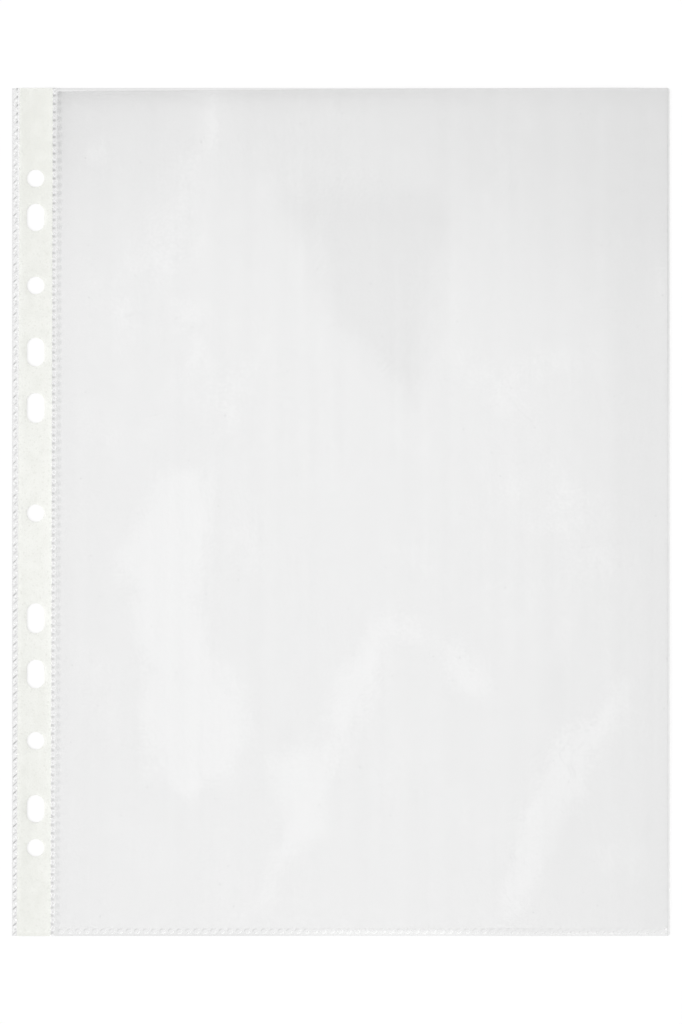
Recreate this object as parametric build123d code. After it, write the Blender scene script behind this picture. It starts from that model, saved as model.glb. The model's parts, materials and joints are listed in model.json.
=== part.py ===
"""Punched sheet protector for one A4 sheet, lying flat with its front up.

A web of clear film is folded along the right-hand edge into a front and a back. Three knurled
welds close it: the spine weld and the inner weld hold a white reinforcing strip between the two
films, and the foot weld closes the pocket. The mouth at the top is open. The strip and the films
over it are punched for ring binders.

Frame: X runs from the spine to the fold, Y from the foot to the mouth and Z up from the surface
that the page lies on. The origin is the middle of the page, on that surface. Millimetres.
"""

import os
from math import cos, pi, sin

from build123d import *

# Page
PAGE_WIDTH = 236.0
PAGE_HEIGHT = 304.0
SHEET_HEIGHT = 297.0
SHEET_CLEARANCE = 0.3

# Films and strip
FILM_THICKNESS = 0.07
STRIP_THICKNESS = 0.10
STRIP_WIDTH = 11.85

# Fold: the film springs back into a narrow loop, and its two ends are rounded
FOLD_RADIUS = 0.25
FOLD_CORNER_RADIUS = 1.0

# Welds: a flat web with a row of raised knurl teeth
SPINE_WELD_WIDTH = 2.05
INNER_WELD_WIDTH = 1.5
FOOT_WELD_HEIGHT = 2.8
WELD_WEB = 0.16
KNURL_PITCH = 2.97
SPINE_TOOTH_WIDTH = 1.7
SPINE_TOOTH_LENGTH = 2.5
SPINE_TOOTH_SIDES = 4
INNER_TOOTH_WIDTH = 1.1
INNER_TOOTH_LENGTH = 1.5
FOOT_TOOTH_WIDTH = 2.1
FOOT_TOOTH_HEIGHT = 1.5
FOOT_TOOTH_MARGIN = 0.7
ROUND_TOOTH_SIDES = 8

# Punched holes: a round hole in the middle, then pairs at these distances from it
HOLE_DIAMETER = 6.2
HOLE_LINE_FROM_SPINE = 8.5
ROUND_HOLE_OFFSETS = (81.6, 120.0)
SLOT_OFFSETS_AND_LENGTHS = ((37.7, 10.7), (57.7, 10.2), (106.0, 9.8))

# Mouth: the front film is cut a little lower than the back film, most at the strip and less up to the fold
MOUTH_LIP = 1.2
MOUTH_LIP_FROM_FOLD = 40.0

# Front panel, the part of the front film that lifts to open the mouth
STILL_EDGE_WIDTH = 16.0
PANEL_CLEARANCE = 0.2

# Crease between the strip and the pocket
CREASE_CLEARANCE = 0.35

# Heights of the layers
STACK = 2 * FILM_THICKNESS + STRIP_THICKNESS
FRONT_FILM_BASE = FILM_THICKNESS + STRIP_THICKNESS
CREASE_RADIUS = STACK / 2
TOOTH_RELIEF = STACK - WELD_WEB
FOLD_HEIGHT = 2 * FOLD_RADIUS
CUTTER_HEIGHT = 4 * FOLD_HEIGHT

# Stations from the spine to the fold
SPINE_X = -PAGE_WIDTH / 2
FOLD_X = PAGE_WIDTH / 2
STRIP_X = SPINE_X + SPINE_WELD_WIDTH
STRIP_END_X = STRIP_X + STRIP_WIDTH
CREASE_X = STRIP_END_X + CREASE_CLEARANCE + CREASE_RADIUS
POCKET_X = STRIP_END_X + CREASE_CLEARANCE + INNER_WELD_WIDTH
FOLD_START_X = FOLD_X - FOLD_RADIUS
WELD_SIDE_END_X = POCKET_X + STILL_EDGE_WIDTH
FOLD_SIDE_X = FOLD_START_X - STILL_EDGE_WIDTH
PANEL_X = WELD_SIDE_END_X + PANEL_CLEARANCE
PANEL_END_X = FOLD_SIDE_X - PANEL_CLEARANCE

# Stations from the foot to the mouth
FOOT_Y = -PAGE_HEIGHT / 2
MOUTH_Y = PAGE_HEIGHT / 2
POCKET_Y = FOOT_Y + FOOT_WELD_HEIGHT
PANEL_HINGE_Y = POCKET_Y + PANEL_CLEARANCE + FILM_THICKNESS / 2
HOLE_CENTRE_Y = POCKET_Y + SHEET_CLEARANCE + SHEET_HEIGHT / 2
HOLE_X = SPINE_X + HOLE_LINE_FROM_SPINE


def slab(x0, x1, y0, y1, z0, z1):
    """A flat piece between two corners."""
    return Pos(x0, y0, z0) * Box(x1 - x0, y1 - y0, z1 - z0, align=(Align.MIN, Align.MIN, Align.MIN))


def page_section(y):
    """The plane at a distance up the page whose X and Y are the page's X and Z. It faces the foot."""
    return Plane((0, y, 0), x_dir=(1, 0, 0), z_dir=(0, -1, 0))


def cutter(outline):
    """A tool of that outline that runs past the back and the front of the whole page."""
    return extrude(Pos(0, 0, -CUTTER_HEIGHT / 2) * outline, CUTTER_HEIGHT)


def hole_cutters():
    """Every punched hole."""
    hole = Circle(HOLE_DIAMETER / 2)
    outlines = [Pos(HOLE_X, HOLE_CENTRE_Y) * hole]
    for side in (-1, 1):
        for offset in ROUND_HOLE_OFFSETS:
            outlines.append(Pos(HOLE_X, HOLE_CENTRE_Y + side * offset) * hole)
        for offset, length in SLOT_OFFSETS_AND_LENGTHS:
            slot = SlotOverall(length, HOLE_DIAMETER, rotation=90)
            outlines.append(Pos(HOLE_X, HOLE_CENTRE_Y + side * offset) * slot)
    return [cutter(outline) for outline in outlines]


def punched_layer(z0, z1):
    """One layer of the binding margin, as wide as the strip, with all its holes."""
    return slab(STRIP_X, STRIP_END_X, FOOT_Y, MOUTH_Y, z0, z1) - hole_cutters()


def round_fold_corners(shape):
    """The shape without the sharp tips where the fold meets the foot and the mouth."""
    radius = FOLD_CORNER_RADIUS
    for edge_y, inward in ((FOOT_Y, 1), (MOUTH_Y, -1)):
        centre = Pos(FOLD_X - radius, edge_y + inward * radius)
        tip = centre * Pos(radius / 2, -inward * radius / 2) * Rectangle(radius, radius)
        shape -= cutter(tip - centre * Circle(radius))
    return shape


def tooth(width, length, sides):
    """A knurl tooth's outline: a polygon drawn in an oval, with points at its left, right and ends."""
    turns = [2 * pi * i / sides for i in range(sides)]
    return Polygon(*[(width / 2 * cos(turn), length / 2 * sin(turn)) for turn in turns])


def teeth_along(length):
    """Distances of the knurl teeth from the middle of a weld of that length."""
    count = int((length - KNURL_PITCH / 2) / KNURL_PITCH)
    return [(i - (count - 1) / 2) * KNURL_PITCH for i in range(count)]


def knurled(web, outline, places):
    """The flat web of a weld with a raised tooth at each place."""
    return web + [extrude(Pos(x, y, WELD_WEB) * outline, TOOTH_RELIEF) for x, y in places]


def spine_weld():
    web = slab(SPINE_X, STRIP_X, FOOT_Y, MOUTH_Y, 0, WELD_WEB)
    middle = (SPINE_X + STRIP_X) / 2
    places = [(middle, y) for y in teeth_along(PAGE_HEIGHT)]
    return knurled(web, tooth(SPINE_TOOTH_WIDTH, SPINE_TOOTH_LENGTH, SPINE_TOOTH_SIDES), places)


def inner_weld():
    """The weld between strip and pocket. Its round edge is the crease that the page turns on."""
    web = slab(CREASE_X, POCKET_X, FOOT_Y, MOUTH_Y, 0, WELD_WEB)
    middle = (CREASE_X + POCKET_X) / 2
    places = [(middle, y) for y in teeth_along(PAGE_HEIGHT)]
    weld = knurled(web, tooth(INNER_TOOTH_WIDTH, INNER_TOOTH_LENGTH, ROUND_TOOTH_SIDES), places)
    bead = Pos(CREASE_X, CREASE_RADIUS) * Circle(CREASE_RADIUS)
    return weld + extrude(page_section(MOUTH_Y) * bead, PAGE_HEIGHT)


def foot_weld():
    web = slab(POCKET_X, FOLD_START_X, FOOT_Y, POCKET_Y, 0, WELD_WEB)
    middle = (POCKET_X + FOLD_START_X) / 2
    row = FOOT_Y + FOOT_TOOTH_MARGIN + FOOT_TOOTH_HEIGHT / 2
    places = [(middle + x, row) for x in teeth_along(FOLD_START_X - POCKET_X)]
    weld = knurled(web, tooth(FOOT_TOOTH_WIDTH, FOOT_TOOTH_HEIGHT, ROUND_TOOTH_SIDES), places)
    return round_fold_corners(weld)


def side_fold():
    """The loop of film that joins the back film to the front film."""
    loop = Circle(FOLD_RADIUS) - Circle(FOLD_RADIUS - FILM_THICKNESS)
    outer_half = Pos(FOLD_RADIUS / 2, 0) * Rectangle(FOLD_RADIUS, FOLD_HEIGHT)
    section = Pos(FOLD_START_X, FOLD_RADIUS) * (loop & outer_half)
    return round_fold_corners(extrude(page_section(MOUTH_Y) * section, PAGE_HEIGHT))


def back_film():
    return round_fold_corners(slab(POCKET_X, FOLD_START_X, POCKET_Y, MOUTH_Y, 0, FILM_THICKNESS))


def trim_mouth(film):
    """A piece of the front film, cut along the line where the back film shows above it."""
    lip = ((POCKET_X, MOUTH_Y - MOUTH_LIP), (FOLD_X - MOUTH_LIP_FROM_FOLD, MOUTH_Y), (POCKET_X, MOUTH_Y))
    return film - cutter(Polygon(*lip))


def still_front_film(x0, x1, top0, top1):
    """A margin of the front film that stays down, between two edges with their heights."""
    profile = Polygon((x0, top0 - FILM_THICKNESS), (x1, top1 - FILM_THICKNESS), (x1, top1), (x0, top0))
    film = extrude(page_section(MOUTH_Y) * profile, MOUTH_Y - POCKET_Y)
    return round_fold_corners(trim_mouth(film))


def front_panel():
    """The middle of the front film. Its foot edge is round, on the line that it lifts about."""
    radius = FILM_THICKNESS / 2
    sheet = slab(PANEL_X, PANEL_END_X, PANEL_HINGE_Y, MOUTH_Y, FRONT_FILM_BASE, STACK)
    hinge_line = Plane((PANEL_X, PANEL_HINGE_Y, FRONT_FILM_BASE + radius), z_dir=(1, 0, 0))
    return trim_mouth(sheet) + extrude(hinge_line * Circle(radius), PANEL_END_X - PANEL_X)


NODES = {
    "reinforcing_strip": punched_layer(FILM_THICKNESS, FRONT_FILM_BASE),
    "margin_film_front": punched_layer(FRONT_FILM_BASE, STACK),
    "margin_film_back": punched_layer(0, FILM_THICKNESS),
    "spine_weld": spine_weld(),
    "inner_weld": inner_weld(),
    "foot_weld": foot_weld(),
    "side_fold": side_fold(),
    "back_film": back_film(),
    "front_film_weld_side": still_front_film(POCKET_X, WELD_SIDE_END_X, STACK, STACK),
    "front_film_fold_side": still_front_film(FOLD_SIDE_X, FOLD_START_X, STACK, FOLD_HEIGHT),
    "front_film_panel": front_panel(),
}

os.makedirs("parts", exist_ok=True)
for name, shape in NODES.items():
    export_step(shape, f"parts/{name}.step")
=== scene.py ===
"""Looks of a punched sheet protector that lies on a pale surface.

Films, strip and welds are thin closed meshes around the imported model. The page rests with the slack
waves of soft film, the welds carry their knurl, and the strip and the films over it are punched.
Lengths are millimetres, and turn into metres where a mesh, lamp or camera is made.
"""

import json
import math

import bpy
import numpy as np
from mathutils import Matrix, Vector
from mathutils.geometry import delaunay_2d_cdt


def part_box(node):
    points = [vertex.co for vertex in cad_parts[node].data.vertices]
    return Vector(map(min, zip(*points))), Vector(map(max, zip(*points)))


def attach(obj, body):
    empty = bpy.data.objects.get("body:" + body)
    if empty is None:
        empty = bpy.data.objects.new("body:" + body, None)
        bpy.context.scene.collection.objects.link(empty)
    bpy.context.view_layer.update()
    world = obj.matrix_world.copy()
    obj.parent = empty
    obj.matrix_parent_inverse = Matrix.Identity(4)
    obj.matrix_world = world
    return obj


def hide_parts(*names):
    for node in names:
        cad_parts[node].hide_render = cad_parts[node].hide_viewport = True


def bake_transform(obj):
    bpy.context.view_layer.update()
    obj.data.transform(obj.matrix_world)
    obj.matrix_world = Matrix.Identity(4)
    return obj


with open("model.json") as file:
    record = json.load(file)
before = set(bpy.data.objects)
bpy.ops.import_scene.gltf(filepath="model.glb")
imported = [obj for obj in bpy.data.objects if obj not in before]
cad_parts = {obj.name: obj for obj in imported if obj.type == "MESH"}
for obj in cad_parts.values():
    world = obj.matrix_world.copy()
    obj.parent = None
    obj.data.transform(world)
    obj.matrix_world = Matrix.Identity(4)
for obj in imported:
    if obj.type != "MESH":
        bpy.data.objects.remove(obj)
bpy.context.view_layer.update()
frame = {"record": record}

MM = 0.001


def corner(node, high=False):
    """A CAD node's lowest or highest corner."""
    return [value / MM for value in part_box(node)[1 if high else 0]]


# Stations of the page, from the CAD nodes
SPINE_X, FOOT_Y, _ = corner("spine_weld")
STRIP_X = corner("reinforcing_strip")[0]
STRIP_END_X = corner("reinforcing_strip", high=True)[0]
POCKET_X, POCKET_Y, BACK_Z = corner("back_film")
MOUTH_Y = corner("back_film", high=True)[1]
FOLD_X = corner("side_fold", high=True)[0]
FILM = corner("back_film", high=True)[2] - BACK_Z
STRIP = corner("reinforcing_strip", high=True)[2] - corner("reinforcing_strip")[2]
MIDDLE_X = 0.0

# The strip lies a little askew: how far its edges stand beyond the CAD strip's half way up the page, and
# how much further they lean to the fold at the mouth
STRIP_SHIFT = 0.22
STRIP_LEAN = 0.46
STRIP_END_SHIFT = 0.43
STRIP_END_LEAN = 0.36
INNER_SEAM_WIDTH = 1.75
HOLE_CLEAR_LEFT_X = -113.2
HOLE_CLEAR_RIGHT_X = -106.0

# How the page lies: the welded margin is stiff and stands off the surface, and the films sag to it
SURFACE_Z = -0.45
SAG_Z = -0.40
RIDGE_Z = -0.25
RIDGE_WAVE = 0.04
RIDGE_WAVE_LENGTH = 137.0
RIDGE_REACH = 8.0
CURL_X = -113.3
BACK_RIPPLE = 0.16
BACK_WAVE_ACROSS = 71.0
BACK_WAVE_BEND = 260.0
BACK_WAVE_UP = 118.0

# Air between the two films
AIR_GAP = 0.06
AIR_RIPPLE = 0.42
AIR_WAVE_ACROSS = 83.0
AIR_WAVE_BEND = 310.0
AIR_WAVE_UP = 149.0
AIR_EDGE_REACH = 16.0
APART_SWELL = 0.6
CLING_PULL = 0.95
MOUTH_LIFT = 0.45
MOUTH_WAVE_LENGTH = 128.0
MOUTH_REACH = 14.0
MOUTH_LIP = 1.2
MOUTH_LIP_END_X = 78.0
LIP_WAVE = 0.06
LIP_WAVE_LENGTH = 37.0

# The fold, a loop of film that is pinched flat where it meets the foot weld
LOOP_WIDTH = 1.0
LOOP_RISE = 0.13
LOOP_SWELL = 0.15
LOOP_WAVE_LENGTH = 97.0
LOOP_PINCH = 0.05
LOOP_REACH = 15.0
LOOP_FOOT_REACH = 12.0
LOOP_STEPS = 14
CORNER_RADIUS = 1.0
LOOP_X = FOLD_X - LOOP_WIDTH

# Layers of the margin
LAYER_AIR = 0.012
WEB = 2 * FILM
MARGIN_STACK = 2 * FILM + STRIP + 2 * LAYER_AIR
STEP_RUN = 0.45
THIN_EDGE = 0.45
THIN_EDGE_WIDTH = 0.3

# Marks that the welding wheels leave, with the painted shade of their dark marks and of cut edges
KNURL_PITCH = 2.97
MARK_RELIEF = 0.02
MARK_SHADE = 0.30
MARK_DARKEST = 1.5
EDGE_SHADE = 0.06
SPINE_EDGE_REACH = 0.35
FOOT_EDGE_REACH = 0.9
WHITE_OVER_DARK = 0.8
RING_MIDDLE = 0.84
RING_WIDTH = 0.22

# Spine wheel
SPINE_PITCH = 2.962
SPINE_SLANT = 0.87
SPINE_PHASE = 0.13
SPINE_STROKE_X = -0.25
SPINE_STROKE_WIDTH = 0.32
SPINE_STROKE_LENGTH = 0.62
SPINE_STROKE_GROWTH = 0.5
SPINE_STROKE_VARIES = (1.0, 1.3)
SPINE_LOWER_GAIN = 0.1
SPINE_TOP_LOSS = 0.5
SPINE_END_X = 0.6
SPINE_END_WIDTH = 0.38
SPINE_END_HEIGHT = 0.45
SPINE_END_STRENGTH = 1.5
SPINE_SPOT_VARIES = (0.95, 1.35)
SPINE_CROSS_SLANT = 0.9
SPINE_CROSS_PHASE = 1.0
SPINE_CROSS_WIDTH = 0.24
SPINE_CROSS_VARIES = (0.3, 0.6)
SPINE_FRINGE = 0.4
SPINE_FRINGE_REACH = 0.45
SPINE_HATCH = 0.16
SPINE_HATCH_LENGTH = 0.83
SPINE_HATCH_BEND = 7.1
SPINE_PLAIN_EDGE = (0.2, 0.55)
STRIP_PLAIN_EDGE = (0.0, 0.15)
# Strokes of each turn of the spine wheel: distance up from the main one, middle and strength
SPINE_STROKES = ((0.0, SPINE_STROKE_X, 1.0), (SPINE_PITCH, 0.15, 0.6))
# Spots below the main stroke of each turn: place across, distance down, half width, half height and
# strength, above 0 where the film is white and below 0 where it takes painted shade
SPINE_SPOTS = (
    (0.20, 0.58, 0.36, 0.34, 1.1),
    (0.35, 1.36, 0.28, 0.24, -0.7),
    (-0.32, 1.68, 0.34, 0.34, 0.9),
    (-0.72, 2.32, 0.22, 0.26, -0.45),
    (0.84, 3.50, 0.26, 0.30, -0.6),
    (0.52, 3.95, 0.34, 0.32, 0.9),
    (-0.28, 4.75, 0.36, 0.36, 0.7),
)

# Inner wheel, with the painted shadows that its dots cast on the film beside it
INNER_PHASE = -0.75
INNER_ROW = 0.80
INNER_DOT_X = 0.72
INNER_DOT_Y = 0.88
INNER_RING_VARIES = (0.6, 1.0)
INNER_RING_GAIN = 0.2
INNER_RING_LOSS = 0.6
INNER_RING_RIGHT = (0.9, 1.4)
# Painted shade in the rings' hollow middles, painted glints in the rings and beside the strip, and the
# strip's painted shadow between the rings
INNER_HOLLOW = 0.2
INNER_HOLLOW_REACH = 0.45
INNER_GLINT = 0.6
INNER_GLINT_GAIN = 0.5
INNER_GLINT_X = 0.95
INNER_GLINT_DOWN = 0.6
INNER_GLINT_REACH = 0.34
INNER_SIDE_GLINT = 0.3
INNER_SIDE_GLINT_GAIN = 0.4
INNER_SIDE_GLINT_REACH = 0.4
INNER_SHADOW = 0.62
INNER_SHADOW_LOSS = 0.12
INNER_SHADOW_GAIN = 0.3
INNER_SHADOW_X = (0.2, 0.75)
INNER_SHADOW_REACH_X = 0.38
INNER_SHADOW_REACH_Y = 0.48
INNER_FADE = 0.15
DOT_SHADOW_ROW = 2.4
DOT_SHADOW_PHASE = 1.29
DOT_SHADOW_SIZE = 1.45
DOT_SHADOW_CORE = 0.15
DOT_SHADOW_STRETCH = 0.85
DOT_SHADOW_FOOT = 0.06
DOT_SHADOW_MOUTH = 0.105

# Foot wheel, with the dashes that it leaves over the strip
FOOT_PITCH = 3.03
FOOT_PHASE = -0.3
FOOT_ROW = 1.75
FOOT_DOT_X = 1.15
FOOT_DOT_Y = 0.92
FOOT_WALL_VARIES = (0.75, 1.15)
FOOT_WALL_RIGHT_LOSS = 0.7
# Walls of the dents: painted shade on one side and a painted highlight on the bright side, as lit from the
# upper left
FOOT_SHADED_WALL = 0.5
FOOT_BRIGHT_SIDE = (0.6, -0.8)
FOOT_WASH = 0.5
FOOT_WASH_DOWN = 0.3
FOOT_WASH_REACH = 0.9
FOOT_RIGHT_WASH_VARIES = (0.1, 0.45)
FOOT_RIGHT_WASH_DOWN = 0.9
FOOT_RIGHT_WASH_REACH = 0.45
FOOT_RIGHT_SHADE = 0.03
FOOT_FADE = 0.2
# Painted glint at the foot, by the fold
CORNER_GLINT_X = FOLD_X - 1.4
CORNER_GLINT_WIDTH = 0.6
CORNER_GLINT_HEIGHT = 1.0
DASH_PHASE = 0.95
DASH_LENGTH = 0.55
DASH_HEIGHT = 0.26

# Glow of the strip: paler half way up, on its left side and in the dashes, with painted highlights at
# its edges, less what its ends lose
GLOW_MIDDLE_LEFT = 0.35
GLOW_MIDDLE_RIGHT = 1.15
GLOW_MIDDLE_Y = -15.0
GLOW_MIDDLE_REACH = 65.0
GLOW_RIGHT_EDGE = 0.4
GLOW_RIGHT_REACH = 1.8
GLOW_LEFT_EDGE = 1.6
GLOW_LEFT_REACH = 0.5
GLOW_SIDE = 0.8
GLOW_SIDE_WIDTH = 4.5
GLOW_SIDE_Y = 30.0
GLOW_SIDE_REACH = 70.0
GLOW_DASHES = 2.6
GLOW_TOP_LOSS = 0.6
GLOW_FOOT_LOSS = 1.2
GLOW_FOOT_REACH = 0.3

# Painted shade on the films: along the inner weld, towards the fold and round its loop, towards the mouth
# and where they stand apart, the painted shadow below the front film's cut edge, and the shade of the
# back film's band above it
WELD_SIDE_SHADE = 0.008
WELD_SIDE_TOP_SHADE = 0.062
WELD_SIDE_REACH = 3.5
SPINE_SIDE_SHADE = 0.016
SPINE_SIDE_REACH = 30.0
FOLD_SIDE_SHADE = 0.055
FOLD_SIDE_TOP_LOSS = 0.5
FOLD_SIDE_REACH = 40.0
FOLD_LINE_SHADE = 0.018
FOLD_LINE_REACH = 0.6
FOLD_LOOP_SHADE = 0.065
FOLD_LOOP_UPPER_SHADE = 0.045
MOUTH_SHADE = 0.062
MOUTH_RIGHT_SHADE = 0.032
MOUTH_SHADE_REACH = 46.0
MOUTH_RIGHT_REACH = 14.0
STREAK_X = -46.0
STREAK_WIDTH = 9.0
STREAK_GAIN = 0.4
LIP_SHADE = 0.025
LIP_LEFT_SHADE = 0.02
LIP_SHADE_REACH = 6.0
LIP_LINE_SHADE = 0.03
LIP_LINE_REACH = 3.0
APART_SHADE = 0.03
APART_TOP_SHADE_LOSS = 0.75
APART_TOP_LOSS = 0.5
BACK_BAND_SHADE = 0.17
BACK_BAND_LOSS = 0.09
BACK_BAND_REACH = 0.6
BACK_BAND_EDGE = (-0.125, 0.125)

# Stretches of the page over which a look comes in, from where it starts to where it is full
SPINE_LOWER_Y = (40.0, -110.0)
SPINE_UPPER_Y = (-30.0, 90.0)
SPINE_TOP_Y = (122.0, 142.0)
INNER_LOWER_Y = (60.0, -30.0)
INNER_TOP_Y = (90.0, 130.0)
FOOT_LEFT_X = (0.0, -40.0)
FOOT_MIDDLE_X = (-25.0, 0.0)
FOOT_MIDDLE_END_X = (50.0, 35.0)
FOOT_RIGHT_X = (40.0, 65.0)
FILM_TOP_Y = (95.0, 145.0)
APART_TOP_Y = (104.0, 122.0)
MOUTH_REACH_X = (20.0, 80.0)
MOUTH_RIGHT_X = (-20.0, 110.0)
LIP_LEFT_X = (80.0, -20.0)
STRIP_TOP_Y = (85.0, 135.0)
FOLD_UPPER_Y = (30.0, 70.0)

# Punched edges are drawn down by the tool
PUNCH_DRAW = 0.06
PUNCH_REACH = 0.55
PUNCH_RINGS = (0.12, 0.3, 0.6, 1.1)
PUNCH_SIDES = 40

# Mesh spacings, and the angle from which an edge is sharp
FILM_STEP = 1.6
STRIP_STEP = 1.5
WELD_STEP = 0.105
FOLD_STEP = 1.0
DASH_STEP_X = 0.16
DASH_STEP_Y = 0.12
DASH_NET_MARGIN = 0.4
DASH_NET_HALF = 0.6
CLOSE_STATIONS = (0.15, 0.35, 0.6, 0.9, 1.3, 1.8, 2.5)
CLOSE_END = 3.4
SHARP_ANGLE = 60.0

# Outlines of the patches where the films cling together
CLING_OUTLINES = (
    ((-63, 15), (-50, 17), (-45, 8), (-49, -10), (-52, -28), (-49, -46), (-40, -57), (-34, -71), (-36, -89),
     (-42, -100), (-49, -93), (-54, -100), (-68, -94), (-74, -75), (-68, -60), (-76, -42), (-74, -28),
     (-79, -17)),
    ((-29, -139), (-24, -125), (-20, -107), (-25, -89), (-15, -85), (-6, -78), (0, -60), (12, -42),
     (18, -37), (16, -53), (7, -71), (1, -89), (-4, -96), (-8, -114), (-15, -121)),
    ((12, -40), (18, -35), (28, -40), (43, -46), (50, -57), (48, -66), (41, -64), (35, -53), (21, -48)),
    ((68, -100), (71, -89), (84, -78), (100, -64), (98, -78), (91, -89), (86, -100), (78, -107), (71, -128),
     (64, -143), (59, -139), (66, -118)),
)
# Outlines of the places where they stand well apart, which also take painted shade
APART_OUTLINES = (
    ((-24, 124), (-15, 126), (14, 123), (36, 119), (39, 105), (34, 87), (33, 65), (28, 47), (25, 40),
     (14, 51), (0, 65), (-9, 81), (-11, 94), (-20, 108)),
)
OUTLINE_SOFTNESS = 12.0
# Fainter patches, as soft ovals: centre, half length, half width, turn in degrees, strength
CLING_OVALS = (
    (73.0, 4.0, 42.0, 25.0, 95.0, 0.32),
    (-58.0, 66.0, 60.0, 24.0, 88.0, 0.30),
    (-46.0, 140.0, 14.0, 3.2, 90.0, 0.9),
    (-89.0, 128.0, 5.0, 5.0, 0.0, 0.9),
)
APART_OVALS = (
    (104.0, 40.0, 70.0, 12.0, 92.0, 0.4),
    (78.0, -60.0, 19.0, 5.0, 95.0, 0.45),
    (80.0, -118.0, 24.0, 12.0, 75.0, 0.4),
)


def ease(t):
    """A smooth step from 0 to 1."""
    t = np.clip(t, 0.0, 1.0)
    return t * t * (3.0 - 2.0 * t)


def rising(value, start, full):
    """A smooth step from 0 at the start to 1 where it is full, which may lie on either side."""
    return ease((value - start) / (full - start))


def wave(along, length, phase=0.0):
    return np.sin(2 * np.pi * along / length + phase)


def chance(count):
    """A number from 0 to 1 that looks random and is the same for the same count."""
    return np.modf(np.abs(np.sin(count * 12.9898 + 4.1) * 43758.5453))[0]


def varied(count, low, high):
    """A strength between two limits that differs from mark to mark."""
    return low + (high - low) * chance(count)


def soft(distance, reach):
    """1 at no distance, falling softly to nothing past the reach."""
    return np.exp(-((distance / reach) ** 2))


def nearest(along, pitch, phase):
    """Count of the nearest mark in a row, and the distance along the row from it."""
    count = np.round((along - phase) / pitch)
    return count, along - phase - count * pitch


def spaced(start, end, step):
    return np.linspace(start, end, max(2, round((end - start) / step) + 1))


def ovals(x, y, table):
    """How much each point lies in the soft ovals of a table, from 0 to 1."""
    share = np.zeros_like(x)
    for centre_x, centre_y, half_length, half_width, turn, strength in table:
        angle = math.radians(turn)
        dx, dy = x - centre_x, y - centre_y
        along = (dx * math.cos(angle) + dy * math.sin(angle)) / half_length
        across = (dy * math.cos(angle) - dx * math.sin(angle)) / half_width
        share = np.maximum(share, strength * np.exp(-(along**2 + across**2)))
    return share


def depth_inside(x, y, outline):
    """Distance inside an outline, below 0 outside it."""
    distance = np.full_like(x, np.inf)
    inside = np.zeros(x.shape, bool)
    for (ax, ay), (bx, by) in zip(outline, outline[1:] + outline[:1]):
        run, rise = bx - ax, by - ay
        share = np.clip(((x - ax) * run + (y - ay) * rise) / (run**2 + rise**2), 0.0, 1.0)
        distance = np.minimum(distance, np.hypot(x - ax - share * run, y - ay - share * rise))
        if rise:
            inside ^= ((ay > y) != (by > y)) & (x < ax + (y - ay) * run / rise)
    return np.where(inside, distance, -distance)


def outlined(x, y, outlines):
    """How far each point lies inside any of the outlines: 0.5 on their lines and 1 well inside."""
    depth = np.max([depth_inside(x, y, outline) for outline in outlines], axis=0)
    return np.clip(0.5 + depth / OUTLINE_SOFTNESS, 0.0, 1.0)


def clinging(x, y):
    return np.maximum(outlined(x, y, CLING_OUTLINES), ovals(x, y, CLING_OVALS))


def standing_apart(x, y):
    return np.maximum(outlined(x, y, APART_OUTLINES), ovals(x, y, APART_OVALS))


# Shape of the page

def strip_left(y):
    return STRIP_X + STRIP_SHIFT + STRIP_LEAN * y / MOUTH_Y


def strip_right(y):
    return STRIP_END_X + STRIP_END_SHIFT + STRIP_END_LEAN * y / MOUTH_Y


def pocket_left(y):
    return strip_right(y) + INNER_SEAM_WIDTH


def lean_strip(x, y):
    """Moves the strip's points with its leaning edges, while its holes keep their places."""
    left = ease((HOLE_CLEAR_LEFT_X - x) / (HOLE_CLEAR_LEFT_X - STRIP_X))
    right = ease((x - HOLE_CLEAR_RIGHT_X) / (STRIP_END_X - HOLE_CLEAR_RIGHT_X))
    return x + left * (strip_left(y) - STRIP_X) + right * (strip_right(y) - STRIP_END_X)


def lean_pocket(x, y):
    """Moves points of the pocket with the leaning inner weld, less and less up to the page's middle."""
    share = np.clip((MIDDLE_X - x) / (MIDDLE_X - POCKET_X), 0.0, 1.0)
    return x + share * (pocket_left(y) - POCKET_X)


def underside(x, y):
    """Height of the page's back."""
    ridge = RIDGE_Z + RIDGE_WAVE * wave(y, RIDGE_WAVE_LENGTH, 0.7)
    margin = SAG_Z + (ridge - SAG_Z) * np.clip((x - CURL_X) / (POCKET_X - CURL_X), 0.0, 1.0) ** 2
    fall = soft(x - POCKET_X, RIDGE_REACH)
    waves = wave(x, BACK_WAVE_ACROSS, 1.1 * wave(y, BACK_WAVE_BEND)) + wave(y + 0.4 * x, BACK_WAVE_UP, 2.0)
    ripple = 0.5 + 0.25 * waves
    pocket = SAG_Z + (ridge - SAG_Z) * fall + BACK_RIPPLE * ripple * (1 - fall)
    return np.where(x < POCKET_X, margin, pocket)


def loop_half_height(y):
    free = ease((y - POCKET_Y) / LOOP_FOOT_REACH)
    rise = LOOP_RISE * (1.0 + LOOP_SWELL * wave(y, LOOP_WAVE_LENGTH, 0.3))
    return LOOP_PINCH + (rise - LOOP_PINCH) * free


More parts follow.
